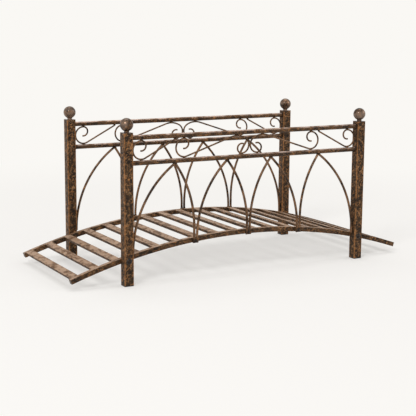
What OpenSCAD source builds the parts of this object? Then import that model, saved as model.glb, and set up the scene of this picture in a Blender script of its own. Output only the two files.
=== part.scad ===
// Arched metal garden bridge in welded and bolted steel.
// Millimetres, +Z up. X runs along the bridge, Y across it, near side at -Y.
// The origin is on the ground, under the middle of the deck.

/* [Overall size] */
// Length over the end caps of the deck side rails
overall_length = 1022.35; // [850:0.05:1250]
// Width over the heads of the bolts in the posts
overall_width = 419.1; // [300:0.1:600]
// Height from the ground to the top of the ball finials
overall_height = 431.8; // [370:0.1:540]

/* [Posts] */
// Distance between the post centres along the bridge
post_spacing = 720; // [600:1:860]
// Side of the square post tube
post_side = 25.4; // [20:0.1:32]
// Wall of the post tube
post_wall = 1.2; // [1:0.1:2]
// Size of the small chamfer down each corner of a post
post_chamfer = 1; // [0.5:0.1:2]
// Thickness of the plate that closes the top of a post
cap_plate = 1.2; // [1:0.1:3]
// Thickness of the plug's rim under the bottom of a post
foot_rim = 2; // [1:0.1:4]
// Height of the plug inside the bottom of a post
foot_boss = 9; // [4:0.5:20]

/* [Finials] */
// Diameter of the ball on a post
ball_d = 34; // [26:0.5:44]
// Diameter of the neck under the ball
neck_d = 13; // [8:0.5:20]
// Gap between the top of the post and the bottom of the ball
neck_gap = 2.8; // [1:0.1:8]

/* [Hand rails] */
// Diameter of the round rail tube
rail_d = 12.7; // [9:0.1:18]
// Wall of the round rail tube
rail_wall = 1.2; // [0.8:0.1:2]
// Depth of the top rail's axis below the top of the posts
top_rail_drop = 14; // [8:0.5:30]
// Distance between the axes of the top rail and the second rail
rail_pitch = 65; // [55:0.5:85]

/* [Frieze scrolls] */
// Diameter of the scroll wire
wire_d = 4.5; // [3:0.1:6]
// Radius of the inner hook of a scroll, to the middle of the wire
hook_r = 13; // [10:0.5:16]
// Radius of the bend at the top of the middle scrolls, to the middle of the wire
shoulder_r = 54; // [40:1:70]
// How much less than a full loop's radius the curl has that meets its twin in the middle
twin_curl_inset = 2.2; // [0.5:0.1:4]
// Gap between the end scroll and the post
end_scroll_gap = 2; // [0.5:0.5:10]
// Distance from the outer arch's point to the middle of the next scroll loop
loop_inset = 26; // [10:1:50]
// Gap between the end scroll's tail and the next scroll loop, along the bridge
tail_gap = 2; // [0:0.5:10]

/* [Pointed arches] */
// Diameter of the arch rods
arch_rod_d = 6.5; // [4:0.1:9]
// Distance from the middle of the bridge to the outer pair of arch feet
outer_foot_x = 162; // [140:1:190]
// Distance from the middle of the bridge to the point of an inner arch
inner_point_x = 68; // [50:1:90]
// Distance from the middle of the bridge to the point of an outer arch
outer_point_x = 223; // [205:1:245]
// Distance between the two rods of a pair at their feet
foot_pair = 8.5; // [7:0.1:14]
// Straight length above the foot of the rod beside the post
post_rod_straight = 4; // [1:1:30]
// Straight length above the foot of the outer arch's inner rod
outer_rod_straight = 30; // [1:1:50]
// Straight length above the foot of the inner arch's outer rod
inner_rod_straight = 2; // [1:1:30]
// Straight length above the foot of the inner arch's inner rod
middle_rod_straight = 14; // [1:1:40]

/* [Deck] */
// Side of the square tube of the deck's side rails
side_rail = 12.7; // [10:0.1:18]
// Wall of the deck's side rails
side_rail_wall = 1.2; // [0.8:0.1:2]
// Height of the top of the deck in the middle of the bridge
deck_top = 114; // [100:1:150]
// Height that the deck rises from its ends to its middle
deck_rise = 86; // [60:1:86]
// Thickness of the caps on the ends of the side rails
end_cap = 1; // [0.5:0.1:3]
// Length of the plug of an end cap inside the side rail
end_plug = 8; // [3:0.5:20]
// Number of slats across the deck
slat_count = 18; // [12:1:22]
// Width of a slat along the bridge
slat_w = 20; // [14:0.5:28]
// Thickness of a slat
slat_t = 7; // [5:0.5:10]
// Wall of the hollow slats
slat_wall = 1; // [0.8:0.1:1.5]
// Distance from the end of a side rail to the edge of the end slat
end_slat_inset = 5; // [2:0.5:20]

/* [Fixings] */
// Diameter of the domed head of a post bolt
bolt_head_d = 12; // [9:0.5:16]
// Height of the domed head of a post bolt
bolt_head_h = 4.2; // [2.5:0.1:6]
// Diameter of the shank of a post bolt
bolt_d = 6; // [4:0.5:8]
// Diameter of the domed head of an arch screw
screw_head_d = 8.5; // [6:0.5:10]
// Height of the domed head of an arch screw
screw_head_h = 2.6; // [1.5:0.1:4]
// Diameter of the shank of an arch screw
screw_d = 4; // [3:0.5:5]
// Length of bolt or screw inside the side rail
grip = 5; // [3:0.5:8]
// Width of the small bracket under a pair of arch rods
bracket_w = 16; // [15:0.5:24]
// Height of that bracket
bracket_h = 12; // [10:0.5:16]
// Thickness of that bracket
bracket_t = 3; // [2:0.5:5]
// Diameter of the bracket's spacer against the side rail
spacer_d = 9; // [7:0.5:11]

/* [Fits] */
// Gap left at a weld or where two pieces are seated
seat = 0.2; // [0.1:0.05:0.3]
// Radial clearance of a bolt or screw in its hole
hole_clearance = 0.3; // [0.2:0.05:0.5]

/* [Hidden] */
sides = ["near", "far"];
ends = ["left", "right"];
arch_names = ["left_outer", "left_inner", "right_inner", "right_outer"];
slat_names = [for (i = [1:slat_count]) str("slat_", i < 10 ? "0" : "", i)];
$fn = 48;

bronze = "#4b3a2b";
dark_bronze = "#3a2d23";
slat_bronze = "#5d4a3b";
black_plastic = "#1c1b1a";

// Posts and rails
post_x = post_spacing / 2;
post_y = overall_width / 2 - bolt_head_h - post_side / 2;
post_top = overall_height - ball_d - neck_gap;
top_rail_z = post_top - top_rail_drop;
second_rail_z = top_rail_z - rail_pitch;
rail_half = post_x - post_side / 2 - seat;

// Scrolls: heights of the wire where it meets the rails, and the loop between them
wire_high = top_rail_z - rail_d / 2 - seat - wire_d / 2;
wire_low = second_rail_z + rail_d / 2 + seat + wire_d / 2;
loop_r = (wire_high - wire_low) / 2;
loop_z = (wire_high + wire_low) / 2;
twin_curl_r = loop_r - twin_curl_inset;
end_loop_x = -(post_x - post_side / 2 - end_scroll_gap - wire_d / 2 - loop_r);
mid_loop_x = -(outer_point_x - loop_inset);
tail_x = mid_loop_x - loop_r - tail_gap;
twin = [-(twin_curl_r + wire_d / 2 + seat / 2), wire_low + twin_curl_r];
shoulder_z = wire_high - shoulder_r;
shoulder = [twin[0] - sqrt(pow(shoulder_r - twin_curl_r, 2) - pow(twin[1] - shoulder_z, 2)), shoulder_z];
twin_join = bearing(shoulder, twin);
hook_end = -100;
twin_hook_end = -290;
bend_step = 12;
wire_sides = 8;

// Deck: the side rails are bent to one radius, about an axis below the ground
half_length = overall_length / 2;
deck_r = (pow(half_length, 2) + pow(deck_rise, 2)) / (2 * deck_rise);
deck_axis_z = deck_top - deck_r;
side_rail_y = post_y - post_side / 2 - seat - side_rail / 2;
rail_end_angle = asin(half_length / sqrt(pow(deck_r, 2) + pow(end_cap, 2))) - atan2(end_cap, deck_r);
slat_half = side_rail_y - side_rail / 2 - seat;
end_slat_angle = rail_end_angle - (end_slat_inset + slat_w / 2) / deck_r * 180 / PI;
slat_step = 2 * end_slat_angle / (slat_count - 1);

// Arches: the rod beside a post, the underside of the second rail, and the places of the brackets
post_rod_x = post_x - post_side / 2 - seat - arch_rod_d / 2;
arch_top_z = second_rail_z - rail_d / 2 - seat;
bracket_feet = [-outer_foot_x, 0, outer_foot_x];
long = 2 * overall_length;

// Height of the deck's top surface at a distance x from the middle
function deck_z(x) = deck_axis_z + sqrt(pow(deck_r, 2) - pow(x, 2));

// Angle of the side rail's slope at a distance x from the middle
function deck_slope(x) = asin(x / deck_r);

// Height of the middle of the side rail at a distance x from the middle
function side_rail_z(x) = deck_axis_z + sqrt(pow(deck_r - side_rail / 2, 2) - pow(x, 2));

// Direction from c to p
function bearing(c, p) = atan2(p[1] - c[1], p[0] - c[0]);

// Point at an angle on a circle
function on_circle(c, r, a) = c + r * [cos(a), sin(a)];

// Place on the near or far side, and at the left or right end, of a piece drawn for near left
module at_corner(s, e) {
    mirror([0, s, 0]) mirror([e, 0, 0]) children();
}

// Square tube section with chamfered corners, standing along Z
module chamfered_square(side, chamfer) {
    h = side / 2;
    c = h - chamfer;
    polygon([[-c, -h], [c, -h], [h, -c], [h, c], [c, h], [-c, h], [-h, c], [-h, -c]]);
}

// Round bar along a line in the XZ plane
module bar_line(p, q, d) {
    translate([p[0], 0, p[1]])
        rotate([0, 90 - bearing(p, q), 0])
            cylinder(d = d, h = norm(q - p));
}

// Round bar bent to part of a circle in the XZ plane, anticlockwise from one angle
module bar_arc(c, r, from, sweep, d) {
    translate([c[0], 0, c[1]])
        rotate([90, 0, 0])
            rotate([0, 0, from])
                rotate_extrude(angle = sweep, $fn = 96)
                    translate([r, 0])
                        circle(d = d, $fn = 24);
}

// Post: square tube with a bolt hole through it, standing on its foot plug
module post(s, e) {
    color(bronze)
    at_corner(s, e)
    translate([-post_x, -post_y, 0])
    difference() {
        translate([0, 0, foot_rim])
            linear_extrude(post_top - cap_plate - foot_rim)
                chamfered_square(post_side, post_chamfer);
        linear_extrude(overall_height)
            square(post_side - 2 * post_wall, center = true);
        translate([0, 0, side_rail_z(post_x)])
            rotate([90, 0, 0])
                cylinder(d = bolt_d + 2 * hole_clearance, h = 2 * post_side, center = true);
    }
}

// Finial: a plate that closes the post, a short neck and a ball
module finial(s, e) {
    color(bronze)
    at_corner(s, e)
    translate([-post_x, -post_y, post_top]) {
        translate([0, 0, -cap_plate])
            linear_extrude(cap_plate)
                chamfered_square(post_side, post_chamfer);
        cylinder(d = neck_d, h = neck_gap + ball_d / 4);
        translate([0, 0, neck_gap + ball_d / 2])
            sphere(d = ball_d);
    }
}

// Hand rail: a round tube between the posts of one side
module hand_rail(s, z) {
    color(bronze)
    mirror([0, s, 0])
    translate([0, -post_y, z])
        rotate([0, 90, 0])
            difference() {
                cylinder(d = rail_d, h = 2 * rail_half, center = true);
                cylinder(d = rail_d - 2 * rail_wall, h = 3 * rail_half, center = true);
            }
}

// Places along a bend from one angle to another, each with the direction of the wire there
function bend(c, r, from, to) =
    let (n = ceil(abs(to - from) / bend_step), turn = sign(to - from))
    [for (i = [0:n]) let (a = from + (to - from) * i / n) concat(on_circle(c, r, a), a + 90 * turn)];

// A list without its first item
function after_first(list) = [for (i = [1:len(list) - 1]) list[i]];

// Inner hook and loop that a scroll starts with, round to the angle where the loop is left
function scroll_loop(x, leave) = concat(
    bend([x, wire_high - hook_r], hook_r, hook_end, 90),
    after_first(bend([x, loop_z], loop_r, 90, 360 + leave))
);

// Corners of the wire's section at one place along it
function section(place) = [
    for (k = [0:wire_sides - 1])
        let (a = 360 * (k + 0.5) / wire_sides, out = wire_d / 2 * cos(a))
        [place[0] - out * sin(place[2]), wire_d / 2 * sin(a), place[1] + out * cos(place[2])]
];

// Wire that follows a list of places, each [x, z, direction]
module wire(places) {
    last = (len(places) - 1) * wire_sides;
    polyhedron(
        points = [for (place = places) each section(place)],
        faces = concat(
            [[for (k = [0:wire_sides - 1]) k]],
            [for (i = [0:wire_sides:last - 1]) for (k = [0:wire_sides - 1])
                let (m = (k + 1) % wire_sides)
                [i + m, i + k, i + wire_sides + k, i + wire_sides + m]],
            [[for (k = [wire_sides - 1:-1:0]) last + k]]
        )
    );
}

// End scroll: loop beside the post, then a straight tail up to the top rail
module end_scroll() {
    c = [end_loop_x, loop_z];
    tail = [tail_x, wire_high];
    leave = bearing(c, tail) - acos(loop_r / norm(tail - c));
    wire(concat(scroll_loop(end_loop_x, leave), [concat(tail, leave + 90)]));
}

// Middle scroll: loop, straight, shoulder under the top rail, and a curl that meets its twin
module middle_scroll() {
    c = [mid_loop_x, loop_z];
    slope = bearing(c, shoulder) + asin((loop_r + shoulder_r) / norm(shoulder - c));
    wire(concat(
        scroll_loop(mid_loop_x, slope - 90),
        bend(shoulder, shoulder_r, slope + 90, twin_join),
        after_first(bend(twin, twin_curl_r, twin_join, -90)),
        after_first(bend([twin[0], wire_low + hook_r], hook_r, -90, twin_hook_end))
    ));
}

// Two scrolls of one half of a side's frieze
module scrolls(s, e) {
    color(dark_bronze)
    at_corner(s, e)
    translate([0, -post_y, 0]) {
        end_scroll();
        middle_scroll();
    }
}

// Arch rod: straight up from its foot, then bent over to the point of the arch
module arch_rod(foot_x, foot_z, straight, point_x) {
    reach = abs(point_x - foot_x);
    rise = arch_top_z - foot_z - straight;
    bend = (pow(reach, 2) + pow(rise, 2)) / (2 * reach);
    toward = sign(point_x - foot_x);
    difference() {
        translate([foot_x, 0, 0])
            mirror([toward > 0 ? 1 : 0, 0, 0]) {
                bar_line([0, foot_z], [0, foot_z + straight], arch_rod_d);
                bar_arc([-bend, foot_z + straight], bend, 0, atan2(rise, bend - reach) + 2, arch_rod_d);
            }
        translate([point_x + toward * (long / 2 - seat), 0, arch_top_z])
            cube(long, center = true);
        translate([point_x, 0, arch_top_z + long / 2])
            cube(long, center = true);
    }
}

// Height of the foot of an arch rod: on a bracket, or on the side rail's level beside a post
function foot_z(x) = deck_z(x) + seat;

// Outer arch of the left half: one rod beside the post, one on the bracket
module outer_arch() {
    arch_rod(-post_rod_x, foot_z(post_rod_x), post_rod_straight, -outer_point_x);
    arch_rod(-outer_foot_x - foot_pair / 2, foot_z(outer_foot_x), outer_rod_straight, -outer_point_x);
}

// Inner arch of the left half
module inner_arch() {
    arch_rod(-outer_foot_x + foot_pair / 2, foot_z(outer_foot_x), inner_rod_straight, -inner_point_x);
    arch_rod(-foot_pair / 2, foot_z(0), middle_rod_straight, -inner_point_x);
}

// One pointed arch of a side, by its place in arch_names
module arch(s, place) {
    color(dark_bronze)
    at_corner(s, place > 1 ? 1 : 0)
    translate([0, -post_y, 0])
        if (place == 0 || place == 3) outer_arch();
        else inner_arch();
}

// Deck side rail: square tube bent to the deck's radius, with holes for its bolts and screws
module deck_side_rail(s) {
    inner = side_rail - 2 * side_rail_wall;
    color(bronze)
    mirror([0, s, 0])
    difference() {
        translate([0, -side_rail_y, deck_axis_z])
            rotate([90, 0, 0])
                rotate([0, 0, 90 - rail_end_angle])
                    rotate_extrude(angle = 2 * rail_end_angle, $fn = 360)
                        translate([deck_r - side_rail / 2, 0])
                            difference() {
                                square(side_rail, center = true);
                                square(inner, center = true);
                            }
        for (x = [-post_x, post_x])
            side_rail_hole(x, bolt_d);
        for (x = bracket_feet)
            side_rail_hole(x, screw_d);
    }
}

// Hole in the outer wall of a side rail
module side_rail_hole(x, d) {
    translate([x, -side_rail_y, side_rail_z(x)])
        rotate([90, 0, 0])
            cylinder(d = d + 2 * hole_clearance, h = side_rail);
}

// Closed caps of the four open ends of the side rails
module side_rail_caps() {
    inner = side_rail - 2 * side_rail_wall - 2 * seat;
    color(dark_bronze)
    for (s = [0, 1]) for (e = [0, 1])
        at_corner(s, e)
        translate([0, -side_rail_y, deck_axis_z])
            rotate([0, -rail_end_angle, 0])
                translate([0, 0, deck_r - side_rail / 2]) {
                    translate([-end_cap / 2, 0, 0])
                        cube([end_cap, side_rail, side_rail], center = true);
                    translate([end_plug / 2, 0, 0])
                        cube([end_plug, inner, inner], center = true);
                }
}

// Slat: flat hollow tube between the side rails, flush with their top
module slat(i) {
    color(slat_bronze)
    translate([0, 0, deck_axis_z])
        rotate([0, (i - (slat_count - 1) / 2) * slat_step, 0])
            translate([0, 0, deck_r - slat_t / 2])
                difference() {
                    cube([slat_w, 2 * slat_half, slat_t], center = true);
                    cube([slat_w - 2 * slat_wall, 3 * slat_half, slat_t - 2 * slat_wall], center = true);
                }
}

// Brackets of one side: a plate under each pair of rods, held off the side rail by a spacer
module arch_brackets(s) {
    gap = post_y - bracket_t / 2 - side_rail_y - side_rail / 2 - seat;
    color(dark_bronze)
    mirror([0, s, 0])
    for (x = bracket_feet)
        translate([x, -post_y, 0])
            difference() {
                union() {
                    translate([0, 0, deck_z(x) - bracket_h / 2])
                        cube([bracket_w, bracket_t, bracket_h], center = true);
                    translate([0, bracket_t / 2 + gap / 2, side_rail_z(x)])
                        rotate([90, 0, 0])
                            cylinder(d = spacer_d, h = gap, center = true);
                }
                translate([0, 0, side_rail_z(x)])
                    rotate([90, 0, 0])
                        cylinder(d = screw_d + 2 * hole_clearance, h = 4 * gap, center = true);
            }
}

// Domed bolt along Y: the underside of its head is at y = 0, its shank runs towards +Y
module domed_bolt(head_d, head_h, shank_d, length) {
    dome_r = (pow(head_d / 2, 2) + pow(head_h, 2)) / (2 * head_h);
    rotate([90, 0, 0]) {
        intersection() {
            translate([0, 0, head_h - dome_r])
                sphere(r = dome_r);
            cylinder(d = 2 * head_d, h = head_h);
        }
        translate([0, 0, -length])
            cylinder(d = shank_d, h = length);
    }
}

// Bolts that go through the posts into the side rails
module post_bolts() {
    color(dark_bronze)
    for (s = [0, 1]) for (e = [0, 1])
        at_corner(s, e)
        translate([-post_x, -post_y - post_side / 2, side_rail_z(post_x)])
            domed_bolt(bolt_head_d, bolt_head_h, bolt_d, post_side + seat + grip);
}

// Screws that go through the arch brackets into the side rails
module arch_screws() {
    color(dark_bronze)
    for (s = [0, 1]) for (x = bracket_feet)
        mirror([0, s, 0])
        translate([x, -post_y - bracket_t / 2 - seat, side_rail_z(x)])
            domed_bolt(screw_head_d, screw_head_h, screw_d, post_y - side_rail_y + bracket_t / 2);
}

// Plugs in the feet of the posts
module post_foot_plugs() {
    inner = post_side - 2 * post_wall - 2 * seat;
    color(black_plastic)
    for (s = [0, 1]) for (e = [0, 1])
        at_corner(s, e)
        translate([-post_x, -post_y, 0]) {
            linear_extrude(foot_rim)
                chamfered_square(post_side, post_chamfer);
            translate([-inner / 2, -inner / 2, 0])
                cube([inner, inner, foot_rim + foot_boss]);
        }
}

for (s = [0, 1]) for (e = [0, 1]) {
    post(s, e);
    finial(s, e);
    scrolls(s, e);
}
for (s = [0, 1]) {
    hand_rail(s, top_rail_z);
    hand_rail(s, second_rail_z);
    deck_side_rail(s);
    arch_brackets(s);
}
for (s = [0, 1]) for (place = [0:3])
    arch(s, place);
for (i = [0:slat_count - 1])
    slat(i);
side_rail_caps();
post_bolts();
arch_screws();
post_foot_plugs();
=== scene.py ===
import math
import random

import bmesh
import bpy
from mathutils import Matrix, Vector, noise


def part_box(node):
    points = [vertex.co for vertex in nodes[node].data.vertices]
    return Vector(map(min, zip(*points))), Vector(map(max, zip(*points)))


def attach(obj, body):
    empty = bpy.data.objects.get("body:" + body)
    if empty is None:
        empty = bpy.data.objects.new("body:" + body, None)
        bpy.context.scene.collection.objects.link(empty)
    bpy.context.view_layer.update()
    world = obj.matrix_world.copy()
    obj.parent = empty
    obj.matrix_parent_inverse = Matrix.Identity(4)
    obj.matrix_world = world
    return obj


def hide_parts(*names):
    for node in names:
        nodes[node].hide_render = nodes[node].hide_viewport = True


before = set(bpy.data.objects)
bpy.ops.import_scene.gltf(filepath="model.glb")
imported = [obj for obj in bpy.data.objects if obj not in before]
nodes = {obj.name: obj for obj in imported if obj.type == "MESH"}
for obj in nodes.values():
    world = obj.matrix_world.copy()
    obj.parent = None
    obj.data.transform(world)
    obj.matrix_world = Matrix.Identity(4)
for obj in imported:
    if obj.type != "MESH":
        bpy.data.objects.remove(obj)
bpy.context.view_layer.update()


# Posts: square steel tube, painted dark bronze.  The paint is sponged and
# dry-brushed with copper in slanting strokes, and it is rubbed to copper along
# the corners, where the copper also paints the highlight on the rounded corners.
# Each post stands on a black plug pushed into its foot.
class Value:
    """The output of a node, with Math nodes for its arithmetic."""

    def __init__(self, paint, socket):
        self.paint = paint
        self.socket = socket

    def math(self, operation, *others):
        return self.paint.node(
            "ShaderNodeMath", {"operation": operation}, dict(enumerate((self,) + others))
        )

    def __add__(self, other):
        return self.math("ADD", other)

    def __sub__(self, other):
        return self.math("SUBTRACT", other)

    def __mul__(self, other):
        return self.math("MULTIPLY", other)

    def __radd__(self, other):
        return self.math("ADD", other)

    def __rmul__(self, other):
        return self.math("MULTIPLY", other)

    def __rsub__(self, other):
        return self.math("MULTIPLY_ADD", -1.0, other)

    def between(self, low, high):
        """0 below low, 1 above high, and a smooth step from one to the other."""
        return self.paint.node(
            "ShaderNodeMapRange",
            {"interpolation_type": "SMOOTHSTEP"},
            {"Value": self, "From Min": low, "From Max": high},
        )


class Paint:
    """The nodes of one material, or of the world behind the bridge."""

    def __init__(self, block):
        self.block = block
        block.use_nodes = True
        self.tree = block.node_tree
        self.tree.nodes.clear()

    def node(self, kind, settings=None, inputs=None, output=0):
        made = self.tree.nodes.new(kind)
        for key, value in (settings or {}).items():
            setattr(made, key, value)
        for key, value in (inputs or {}).items():
            if isinstance(value, Value):
                self.tree.links.new(value.socket, made.inputs[key])
            else:
                made.inputs[key].default_value = value
        return Value(self, made.outputs[output]) if made.outputs else None

    def mix(self, amount, first, second):
        """Colour between first and second."""
        colours = {
            place: colour if isinstance(colour, Value) else (*colour, 1.0)
            for place, colour in ((6, first), (7, second))
        }
        return self.node("ShaderNodeMix", {"data_type": "RGBA"}, {0: amount, **colours}, 2)

    def noise(self, place, scale, detail=4.0, rough=0.6, warp=0.0):
        return self.node(
            "ShaderNodeTexNoise",
            {},
            {
                "Vector": place,
                "Scale": scale,
                "Detail": detail,
                "Roughness": rough,
                "Distortion": warp,
            },
        )

    def finish(self, surface, kind="ShaderNodeOutputMaterial"):
        self.node(kind, {}, {"Surface": surface})
        return self.block


DARK = (0.020, 0.013, 0.009)
BROWN = (0.081, 0.044, 0.022)
COPPER = (0.468, 0.206, 0.069)
TAN = (0.598, 0.350, 0.181)
PALE_TOP = (0.455, 0.330, 0.240)
RUB_AND_SHINE_START = 0.0036
RUB_AND_SHINE_FULL = 0.0012


def brushed(paint, place, lean, length, scale, width):
    """Thin lines that lean in x and y, drawn out along z."""
    slanted = paint.node(
        "ShaderNodeMapping",
        {"vector_type": "TEXTURE"},
        {"Vector": place, "Rotation": (lean, lean, 0.0), "Scale": (1.0, 1.0, length)},
    )
    ridge = (paint.noise(slanted, scale, 3.0, 0.55, 0.4) - 0.5).math("ABSOLUTE")
    return 1.0 - ridge.between(0.006, width)


def rubbed_and_lit_corners(paint, place, edge, cloud):
    """1 near the corners of a square post, with edge its middle x and y and its half width."""
    offsets = paint.node("ShaderNodeVectorMath", {"operation": "ABSOLUTE"}, {0: place})
    x, y = (
        (paint.node("ShaderNodeSeparateXYZ", {}, {0: offsets}, axis) - edge[axis]).math("ABSOLUTE")
        for axis in (0, 1)
    )
    nearer = x.math("MINIMUM", y)
    # Copper band along the corners: rubbed paint and a painted highlight on the rounded corners.
    return nearer.between(edge[2] - RUB_AND_SHINE_START, edge[2] - RUB_AND_SHINE_FULL) * cloud.between(0.34, 0.56)


def bronze_paint(
    name,
    copper,
    streaks,
    ground=BROWN,
    run=(1, 1, 0.6),
    blotch=110.0,
    gloss=0.0,
    top=0.0,
    pale=PALE_TOP,
    edge=None,
):
    """Dark bronze with copper specks and leaning brush strokes.

    copper and streaks say how strong the specks and strokes are, run how the blotches
    are drawn out, top how much paler the upper faces are (worn, dusty paint and
    painted light from above), and edge which post's corners get copper (rubbed
    paint and a painted highlight).
    """
    paint = Paint(bpy.data.materials.new(name))
    place = paint.node("ShaderNodeTexCoord", output="Object")
    along = paint.node("ShaderNodeMapping", {}, {"Vector": place, "Scale": run})
    tone = paint.noise(along, 45.0)
    cloud = paint.noise(along, blotch, 6.0, 0.72, 0.3)
    fine = paint.noise(place, 420.0, 3.0, 0.65)
    strokes, scratches = (
        brushed(paint, place, lean, length, scale, width) * cloud.between(0.38, 0.58)
        for lean, length, scale, width in ((0.6, 3.2, 95.0, 0.032), (-0.8, 4.0, 120.0, 0.024))
    )
    specks = cloud.between(0.52, 0.72) * (fine.between(0.38, 0.62) * 0.6 + 0.4)
    colour = paint.mix(tone.between(0.36, 0.64), DARK, ground)
    colour = paint.mix(specks * copper, colour, COPPER)
    colour = paint.mix(strokes * streaks, colour, COPPER)
    colour = paint.mix(scratches * (0.8 * streaks), colour, TAN)
    if edge:
        # Copper along the post corners: rubbed paint and a painted highlight.
        colour = paint.mix(rubbed_and_lit_corners(paint, place, edge, cloud) * 0.55, colour, COPPER)
    # Paler upper faces, by the surface's facing: worn, dusty paint and painted light from above.
    if top:
        patches = paint.noise(along, 70.0, 5.0, 0.66, 0.4)
        worn_and_lit_top = paint.mix(patches.between(0.44, 0.60), pale, ground)
        worn_and_lit_top = paint.mix(fine.between(0.40, 0.66) * 0.45, worn_and_lit_top, COPPER)
        worn_and_lit_top = paint.mix(specks * 0.7, worn_and_lit_top, TAN)
        facing = paint.node("ShaderNodeNewGeometry", output="Normal")
        up = paint.node("ShaderNodeSeparateXYZ", {}, {0: facing}, "Z")
        colour = paint.mix(up.between(0.35, 0.9) * top, colour, worn_and_lit_top)
    bump = paint.node(
        "ShaderNodeBump",
        {},
        {"Strength": 0.3, "Distance": 0.0004, "Height": cloud + fine * 0.4},
    )
    shader = paint.node(
        "ShaderNodeBsdfPrincipled",
        {},
        {
            "Base Color": colour,
            "Metallic": specks * 0.3 + 0.4,
            "Roughness": (0.60 - 0.22 * gloss) - (specks * 0.12 + fine * 0.10),
            "Specular IOR Level": 0.2,
            "Normal": bump,
        },
    )
    return paint.finish(shader)


def dress(material, *names):
    for name in names:
        nodes[name].data.materials.clear()
        nodes[name].data.materials.append(material)


SIDES = ("near", "far")
ENDS = ("left", "right")
corners = [f"{side}_{end}" for side in SIDES for end in ENDS]
post_low, post_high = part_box("post_far_right")
post_middle = (post_low + post_high) / 2
post_half = (post_high.x - post_low.x) / 2
post_bronze = bronze_paint(
    "post_bronze",
    copper=0.31,
    streaks=0.70,
    ground=(0.045, 0.027, 0.014),
    run=(1, 1, 0.8),
    edge=(post_middle.x, post_middle.y, post_half),
)
dress(post_bronze, *(f"post_{corner}" for corner in corners))

plug = Paint(bpy.data.materials.new("foot_plug_black"))
plug_grain = plug.noise(plug.node("ShaderNodeTexCoord", output="Object"), 300.0)
plug_colour = plug.mix(plug_grain, (0.012, 0.012, 0.012), (0.03, 0.028, 0.026))
plug_black = plug.finish(
    plug.node("ShaderNodeBsdfPrincipled", {}, {"Base Color": plug_colour, "Roughness": 0.6})
)
dress(plug_black, "post_foot_plugs")

# Finials: a pressed steel ball on a short neck, welded to the plate that
# closes the post.  Smooth dark bronze with faint copper clouds.
finial_bronze = bronze_paint(
    "finial_bronze",
    copper=0.35,
    streaks=0.3,
    ground=(0.21, 0.148, 0.112),
    run=(1, 1, 1),
    blotch=70.0,
    gloss=1.2,
)
dress(finial_bronze, *(f"finial_{corner}" for corner in corners))

# Hand rails: round steel tube welded between the posts, paler along the top:
# partly rubbed and dusty where hands and rain reach it, partly painted light
# from above.
rail_bronze = bronze_paint(
    "rail_bronze",
    copper=0.7,
    streaks=0.4,
    run=(0.5, 1, 1),
    gloss=0.8,
    top=1.0,
    pale=(0.56, 0.45, 0.40),
)
dress(rail_bronze, *(f"{place}_rail_{side}" for place in ("top", "second") for side in SIDES))

# Frieze: scrolls bent from one length of round wire each, welded to the two
# rails wherever they touch them.  Each half has a scroll by the post and one
# that runs from a loop over a long shoulder to a curl by the middle.
WIRE_RADIUS = 0.00225
WELD_GAP = 0.0002
HOOK_RADIUS = 0.013
HOOK_TIP = -100
CURL_HOOK_TIP = -290
SHOULDER_RADIUS = 0.054
CURL_RADIUS = 0.0215
MIDDLE_LOOP_X = -0.197
TAIL_GAP = 0.002
BEND_STEP = 5.0
# The wire's upper faces are paler: worn, dusty paint and painted light from above.
wire_bronze = bronze_paint(
    "wire_bronze",
    copper=0.35,
    streaks=0.4,
    ground=(0.17, 0.095, 0.05),
    run=(1, 1, 1),
    gloss=0.4,
    top=0.4,
)


def bearing(start, end):
    return math.degrees(math.atan2(end[1] - start[1], end[0] - start[0]))


def bend(centre, radius, start, end):
    """Points (x, z) of an arc, with start and end in degrees."""
    steps = math.ceil(abs(end - start) / BEND_STEP)
    angles = [math.radians(start + (end - start) * i / steps) for i in range(steps + 1)]
    return [(centre[0] + radius * math.cos(a), centre[1] + radius * math.sin(a)) for a in angles]


scroll_low, scroll_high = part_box("scrolls_near_left")
near_y = (scroll_low.y + scroll_high.y) / 2
frieze_y = {"near": near_y, "far": -near_y}
wire_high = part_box("top_rail_near")[0].z - WELD_GAP - WIRE_RADIUS
wire_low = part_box("second_rail_near")[1].z + WELD_GAP + WIRE_RADIUS
loop_radius = (wire_high - wire_low) / 2
loop_z = (wire_high + wire_low) / 2
# The scroll node's wire has eight sides and lies with a flat one outwards.
flat_side = WIRE_RADIUS * math.cos(math.radians(22.5))
end_loop = (scroll_low.x + flat_side + loop_radius, loop_z)
middle_loop = (MIDDLE_LOOP_X, loop_z)
tail = (MIDDLE_LOOP_X - loop_radius - TAIL_GAP, wire_high)
curl = (-(CURL_RADIUS + WIRE_RADIUS + WELD_GAP / 2), wire_low + CURL_RADIUS)
shoulder_z = wire_high - SHOULDER_RADIUS
shoulder_reach = math.sqrt((SHOULDER_RADIUS - CURL_RADIUS) ** 2 - (curl[1] - shoulder_z) ** 2)
shoulder = (curl[0] - shoulder_reach, shoulder_z)
curl_join = bearing(shoulder, curl)


def scroll_loop(centre, leave):
    """The hook and the loop round it, up to where the wire leaves at an angle."""
    hook = bend((centre[0], wire_high - HOOK_RADIUS), HOOK_RADIUS, HOOK_TIP, 90)
    return hook + bend(centre, loop_radius, 90, 360 + leave)[1:]


tail_angle = math.degrees(math.acos(loop_radius / math.dist(end_loop, tail)))
end_scroll = scroll_loop(end_loop, bearing(end_loop, tail) - tail_angle) + [tail]
slope = bearing(middle_loop, shoulder) + math.degrees(
    math.asin((loop_radius + SHOULDER_RADIUS) / math.dist(middle_loop, shoulder))
)
middle_scroll = (
    scroll_loop(middle_loop, slope - 90)
    + bend(shoulder, SHOULDER_RADIUS, slope + 90, curl_join)
    + bend(curl, CURL_RADIUS, curl_join, -90)[1:]
    + bend((curl[0], wire_low + HOOK_RADIUS), HOOK_RADIUS, -90, CURL_HOOK_TIP)[1:]
)


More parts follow.
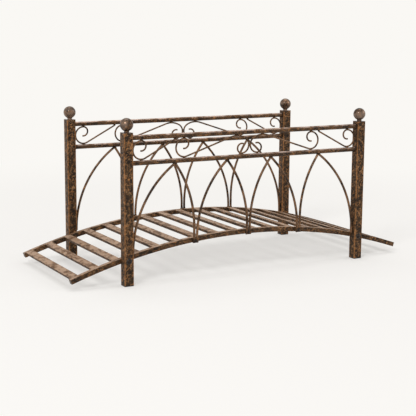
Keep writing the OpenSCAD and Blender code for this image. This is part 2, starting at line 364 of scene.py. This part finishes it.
def bent_wire(name, paths):
    """Round wire along each path of (x, y, z) points."""
    curve = bpy.data.curves.new(name, "CURVE")
    curve.dimensions = "3D"
    curve.bevel_depth = WIRE_RADIUS
    curve.bevel_resolution = 4
    curve.use_fill_caps = True
    for path in paths:
        spline = curve.splines.new("POLY")
        spline.points.add(len(path) - 1)
        for point, place in zip(spline.points, path):
            point.co = (*place, 1.0)
    curve.materials.append(wire_bronze)
    wire = bpy.data.objects.new(name, curve)
    bpy.context.scene.collection.objects.link(wire)
    return wire


for side in SIDES:
    for end, hand in (("left", 1), ("right", -1)):
        wire = bent_wire(
            f"scroll_wire_{side}_{end}",
            [
                [(hand * x, frieze_y[side], z) for x, z in scroll]
                for scroll in (end_scroll, middle_scroll)
            ],
        )
        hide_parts(f"scrolls_{side}_{end}")
        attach(wire, "root")

# Pointed arches: pairs of bent round rod, welded together at the point under
# the second rail and to a bracket at the foot.
arch_bronze = bronze_paint(
    "arch_bronze",
    copper=0.4,
    streaks=0.45,
    ground=(0.18, 0.10, 0.055),
    run=(1, 1, 0.4),
    gloss=0.5,
)
for side in SIDES:
    for half in ENDS:
        dress(arch_bronze, f"arch_{side}_{half}_outer", f"arch_{side}_{half}_inner")

# Deck: two square tubes bent to one radius, with capped ends, and flat hollow
# slats welded between them.  The paint is paler on the tops, partly worn and
# dusty where feet and rain reach it and partly painted light from above.
deck_rail_bronze = bronze_paint(
    "deck_rail_bronze", copper=0.65, streaks=0.45, run=(0.6, 1, 1), top=0.85
)
dress(deck_rail_bronze, *(f"deck_side_rail_{side}" for side in SIDES))
slat_bronze = bronze_paint("slat_bronze", copper=0.65, streaks=0.45, run=(1, 0.6, 1), top=0.9)
dress(slat_bronze, *sorted(name for name in nodes if name.startswith("slat_")))

# Fixings: small brackets under the arches and the caps of the side rails, in
# the same dark bronze, and the screws and bolts, which are nearly black.
fixing_bronze = bronze_paint(
    "fixing_bronze", copper=0.3, streaks=0.3, run=(1, 1, 1), gloss=0.8
)
dress(fixing_bronze, "arch_brackets_near", "arch_brackets_far", "side_rail_caps")
bolt_bronze = bronze_paint(
    "bolt_bronze",
    copper=0.1,
    streaks=0.0,
    ground=(0.022, 0.016, 0.013),
    run=(1, 1, 1),
    gloss=1.4,
)
dress(bolt_bronze, "post_bolts", "arch_screws")

# Shade rings: thin black rings round the base of each domed bolt head, on the
# outer faces of the posts, that paint the shade in the gap round each head.
SHADE_RING_HOLE = 0.0052
SHADE_RING_RADIUS = 0.0076
SHADE_RING_THICKNESS = 0.0005
SHADE_RING_ROUNDING = 0.0003
SHADE_RING_STEPS = 48
shade_ring_profile = [
    (SHADE_RING_HOLE, 0),
    (SHADE_RING_RADIUS, 0),
    (SHADE_RING_RADIUS, SHADE_RING_THICKNESS * 0.6),
    (SHADE_RING_RADIUS - SHADE_RING_ROUNDING, SHADE_RING_THICKNESS),
    (SHADE_RING_HOLE, SHADE_RING_THICKNESS),
]
bolt_low, bolt_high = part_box("post_bolts")
bolt_z = (bolt_low.z + bolt_high.z) / 2


def add_shade_ring(rings, x, y_side):
    """A ring on the post face at y_side, turned about the bolt's own line."""
    turns = []
    for k in range(SHADE_RING_STEPS):
        a = math.tau * k / SHADE_RING_STEPS
        turns.append(
            [
                rings.verts.new(
                    (x + r * math.cos(a), y_side * (post_high.y + h), bolt_z + r * math.sin(a))
                )
                for r, h in shade_ring_profile
            ]
        )
    for k, turn in enumerate(turns):
        following = turns[(k + 1) % SHADE_RING_STEPS]
        for j in range(len(shade_ring_profile)):
            i = (j + 1) % len(shade_ring_profile)
            rings.faces.new((turn[j], turn[i], following[i], following[j]))


shade_ring_mesh = bpy.data.meshes.new("bolt_shade_rings")
rings = bmesh.new()
for x_side in (1, -1):
    for y_side in (1, -1):
        add_shade_ring(rings, x_side * post_middle.x, y_side)
bmesh.ops.recalc_face_normals(rings, faces=rings.faces)
rings.to_mesh(shade_ring_mesh)
rings.free()
shade_ring_mesh.materials.append(plug_black)
shade_rings = bpy.data.objects.new("bolt_shade_rings", shade_ring_mesh)
bpy.context.scene.collection.objects.link(shade_rings)
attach(shade_rings, "root")

# Welds: dark, slightly lumpy beads where the scroll wires and the points of
# the arches meet the rails, and round the ends of the hand rails.
LUMPS = 0.22
LUMP_SCALE = 1.6
CURL_BEAD = (0.0016, 0.0024, 0.003)
LOOP_BEAD = (0.0042, 0.0024, 0.0014)
TAIL_BEAD = (0.0034, 0.0026, 0.0022)
SHOULDER_BEAD = (0.005, 0.0024, 0.0014)
CURL_FOOT_BEAD = (0.004, 0.0024, 0.0014)
ARCH_BEAD = (0.0062, 0.0042, 0.0022)
RAIL_BEAD = (0.0013, 0.0016, 0.0016)
WIRE_TO_BEAD = 0.0018
TAIL_TO_BEAD = 0.0012
ARCH_DROP = 0.0012
ARCH_POINTS = (0.223, 0.068)
RAIL_RING_RADIUS = 0.0064
RAIL_RING_BEADS = 14
RAIL_RING_INSET = 0.0004
draw = random.Random(7)
weld_bronze = bronze_paint("weld_bronze", copper=0.1, streaks=0.1, ground=(0.055, 0.036, 0.023))


def weld_beads(name, beads):
    """One piece of lumpy beads, each (centre, (x, y, z) half sizes)."""
    mesh = bpy.data.meshes.new(name)
    shape = bmesh.new()
    for centre, sizes in beads:
        made = bmesh.ops.create_icosphere(shape, subdivisions=3, radius=1.0)
        shift = Vector((draw.uniform(0, 50), draw.uniform(0, 50), draw.uniform(0, 50)))
        for vertex in made["verts"]:
            swell = 1.0 + LUMPS * noise.noise(vertex.co * LUMP_SCALE + shift)
            vertex.co = Vector(centre) + Vector(c * s * swell for c, s in zip(vertex.co, sizes))
    for face in shape.faces:
        face.smooth = True
    shape.to_mesh(mesh)
    shape.free()
    mesh.materials.append(weld_bronze)
    piece = bpy.data.objects.new(name, mesh)
    bpy.context.scene.collection.objects.link(piece)
    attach(piece, "root")


def frieze_beads(y):
    above, below = wire_high + WIRE_TO_BEAD, wire_low - WIRE_TO_BEAD
    beads = [((0, y, curl[1]), CURL_BEAD)]
    for hand in (1, -1):
        for x in (end_loop[0], middle_loop[0]):
            beads += [((hand * x, y, above), LOOP_BEAD), ((hand * x, y, below), LOOP_BEAD)]
        beads += [((hand * tail[0], y, wire_high + TAIL_TO_BEAD), TAIL_BEAD)]
        beads += [((hand * shoulder[0], y, above), SHOULDER_BEAD)]
        beads += [((hand * curl[0], y, below), CURL_FOOT_BEAD)]
    return beads


def arch_point_beads(y):
    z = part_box("second_rail_near")[0].z - ARCH_DROP
    return [((hand * x, y, z), ARCH_BEAD) for hand in (1, -1) for x in ARCH_POINTS]


def rail_end_beads(y):
    beads = []
    for hand in (1, -1):
        for rail in ("top_rail_near", "second_rail_near"):
            rail_low, rail_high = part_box(rail)
            x = hand * (rail_high.x - RAIL_RING_INSET)
            z = (rail_low.z + rail_high.z) / 2
            for k in range(RAIL_RING_BEADS):
                a = math.tau * k / RAIL_RING_BEADS
                across, up = RAIL_RING_RADIUS * math.sin(a), RAIL_RING_RADIUS * math.cos(a)
                beads += [((x, y + across, z + up), RAIL_BEAD)]
    return beads


for side in SIDES:
    weld_beads(f"frieze_welds_{side}", frieze_beads(frieze_y[side]))
    weld_beads(f"arch_point_welds_{side}", arch_point_beads(frieze_y[side]))
    weld_beads(f"rail_end_welds_{side}", rail_end_beads(frieze_y[side]))

# The stage: a plain pale floor that fades into a pale background, with large
# soft lamps above, and the camera.  The background shows to the camera and in
# shiny surfaces, and the light on the bridge is plainer.
PALE = (0.955, 0.938, 0.905)
FLOOR_COLOUR = (0.955, 0.945, 0.93)
FLOOR_BOUNCE = (0.8, 0.8, 0.8)
FLOOR_SIZE = 40.0
FLOOR_DROP = 0.0003
FADE_START, FADE_END = 0.8, 2.2
SHADOW_LIFT = 0.45
SKY_COLOUR = (1.0, 0.975, 0.95)
SKY_STRENGTH = 0.45


def diffuse(stage, colour):
    return stage.node("ShaderNodeBsdfDiffuse", {}, {"Color": (*colour, 1.0)})


def either(stage, amount, first, second):
    return stage.node("ShaderNodeMixShader", {}, {0: amount, 1: first, 2: second})


def shows(stage):
    """1 where a ray comes from the camera, a shiny surface or glass."""
    of_camera, of_gloss, of_glass = (
        stage.node("ShaderNodeLightPath", output=f"Is {ray} Ray")
        for ray in ("Camera", "Glossy", "Transmission")
    )
    return of_camera.math("MAXIMUM", of_gloss).math("MAXIMUM", of_glass)


floor_mesh = bpy.data.meshes.new("floor")
shape = bmesh.new()
bmesh.ops.create_grid(shape, x_segments=1, y_segments=1, size=FLOOR_SIZE)
shape.to_mesh(floor_mesh)
shape.free()
floor = bpy.data.objects.new("floor", floor_mesh)
floor.location.z = -FLOOR_DROP
bpy.context.scene.collection.objects.link(floor)
stage = Paint(bpy.data.materials.new("floor_pale"))
place = stage.node("ShaderNodeTexCoord", output="Object")
away = stage.node("ShaderNodeVectorMath", {"operation": "LENGTH"}, {0: place}, "Value")
glow = stage.node("ShaderNodeEmission", {}, {"Color": (*PALE, 1.0), "Strength": 1.0})
shaded = either(stage, SHADOW_LIFT, diffuse(stage, FLOOR_COLOUR), glow)
faded = either(stage, away.between(FADE_START, FADE_END), shaded, glow)
floor_mesh.materials.append(
    stage.finish(either(stage, shows(stage), diffuse(stage, FLOOR_BOUNCE), faded))
)

scene = bpy.context.scene
scene.world = bpy.data.worlds.new("studio")
sky = Paint(scene.world)
shown = sky.node("ShaderNodeBackground", {}, {"Color": (*PALE, 1.0)})
lit = sky.node(
    "ShaderNodeBackground", {}, {"Color": (*SKY_COLOUR, 1.0), "Strength": SKY_STRENGTH}
)
sky.finish(either(sky, shows(sky), lit, shown), "ShaderNodeOutputWorld")

LAMP_AIM = Vector((0, 0, 0.15))


def soft_lamp(name, place, size, power):
    lamp = bpy.data.lights.new(name, "AREA")
    lamp.shape = "RECTANGLE"
    lamp.size, lamp.size_y = size
    lamp.energy = power
    holder = bpy.data.objects.new(name, lamp)
    holder.location = place
    holder.rotation_euler = (LAMP_AIM - Vector(place)).to_track_quat("-Z", "Y").to_euler()
    scene.collection.objects.link(holder)


soft_lamp("key_lamp", (-4.2, -3.2, 4.2), (1.8, 1.8), 150)
soft_lamp("fill_lamp", (4.4, -2.8, 3.0), (2.4, 2.4), 48)
soft_lamp("top_lamp", (0.4, 1.2, 5.6), (4.4, 3.2), 96)

TURN, LIFT, ROLL = (math.radians(angle) for angle in (-28.8, 10.1, 0.4))
DISTANCE = 3.0918
FOCAL_LENGTH = 93.8
AIM = Vector((-0.0194, 0.0, 0.1448))
back = Vector(
    (math.sin(TURN) * math.cos(LIFT), -math.cos(TURN) * math.cos(LIFT), math.sin(LIFT))
)
facing = (-back).to_track_quat("-Z", "Y").to_matrix()
lens = bpy.data.cameras.new("camera")
lens.lens = FOCAL_LENGTH
camera = bpy.data.objects.new("camera", lens)
camera.location = AIM + back * DISTANCE
camera.rotation_euler = (facing @ Matrix.Rotation(ROLL, 3, "Z")).to_euler()
scene.collection.objects.link(camera)
scene.camera = camera
scene.view_settings.view_transform = "Standard"
